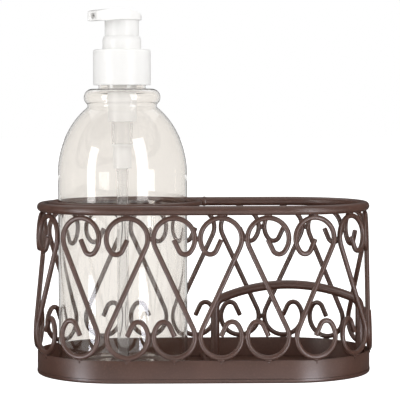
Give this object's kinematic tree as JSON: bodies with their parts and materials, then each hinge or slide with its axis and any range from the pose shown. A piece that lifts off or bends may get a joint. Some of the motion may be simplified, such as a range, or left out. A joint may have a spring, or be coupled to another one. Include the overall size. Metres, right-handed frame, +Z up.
{
  "type": "soap pump caddy",
  "caption": "Racetrack wire caddy with scrolled sides, a ring round the clear pump bottle that stands in it and an arch that keeps a sponge upright.",
  "frame": {"origin": "on the table, under the middle of the tray", "axes": "+Z up, -Y towards the front, +X to the right with the sponge place, the bottle on the left"},
  "size_m": [0.1843, 0.0967, 0.1961],
  "materials": {
    "bronze_paint": "satin",
    "clear_plastic": "gloss",
    "white_plastic": "satin",
    "natural_plastic": "satin",
    "soft_seal": "matte",
    "steel": "satin"
  },
  "bodies": {
    "caddy": {"tray_floor": "bronze_paint", "tray_wall": "bronze_paint", "top_rail": "bronze_paint", "rail_joint": "bronze_paint", "bottle_ring": "bronze_paint", "sponge_arch": "bronze_paint", "floor_wire": "bronze_paint", "scroll_01": "bronze_paint", "scroll_02": "bronze_paint", "scroll_03": "bronze_paint", "scroll_04": "bronze_paint", "scroll_05": "bronze_paint", "scroll_06": "bronze_paint", "scroll_07": "bronze_paint", "scroll_08": "bronze_paint", "scroll_09": "bronze_paint", "scroll_10": "bronze_paint", "scroll_11": "bronze_paint", "scroll_12": "bronze_paint", "scroll_13": "bronze_paint", "scroll_14": "bronze_paint", "scroll_15": "bronze_paint", "scroll_16": "bronze_paint", "scroll_17": "bronze_paint", "scroll_18": "bronze_paint"},
    "bottle_body": {"bottle": "clear_plastic", "bottle_shoulder": "clear_plastic", "bottle_bead": "clear_plastic", "bottle_neck": "clear_plastic"},
    "pump_engine": {"gasket": "soft_seal", "lock_collar": "white_plastic", "pump_housing": "natural_plastic", "stem_guide": "natural_plastic", "pump_cylinder": "clear_plastic", "valve_cup": "white_plastic", "dip_tube": "clear_plastic", "return_spring": "steel"},
    "inlet_ball": {"valve_ball": "steel"},
    "screw_cap_body": {"screw_cap": "white_plastic"},
    "plunger": {"pump_stem": "natural_plastic", "piston": "soft_seal"},
    "head_body": {"pump_head": "white_plastic"}
  },
  "joints": [
    {"name": "bottle_lift", "type": "slide", "parent": "caddy", "child": "bottle_body", "axis": [0, 0, 1], "range_m": [0, 0.12]},
    {"name": "pump_rise", "type": "slide", "parent": "bottle_body", "child": "pump_engine", "axis": [0, 0, 1], "range_m": [0, 0.00634]},
    {"name": "cap_unscrew", "type": "hinge", "parent": "pump_engine", "child": "screw_cap_body", "pos_m": [-0.0437, 0, 0.17466], "axis": [0, 0, 1], "range_deg": [0, 540]},
    {"name": "valve_lift", "type": "slide", "parent": "pump_engine", "child": "inlet_ball", "axis": [0, 0, 1], "range_m": [0, 0.0025]},
    {"name": "head_press", "type": "slide", "parent": "pump_engine", "child": "plunger", "axis": [0, 0, -1], "range_m": [0, 0.0084], "stiffness_N_per_m": 600, "springref_m": -0.005, "deforming": ["return_spring"]},
    {"name": "head_turn", "type": "hinge", "parent": "plunger", "child": "head_body", "pos_m": [-0.0437, 0, 0.19046], "axis": [0, 0, 1], "continuous": true}
  ],
  "couplings": [
    {"joint": "cap_unscrew", "follows": "pump_rise", "rad_per_m": 1485.9}
  ]
}
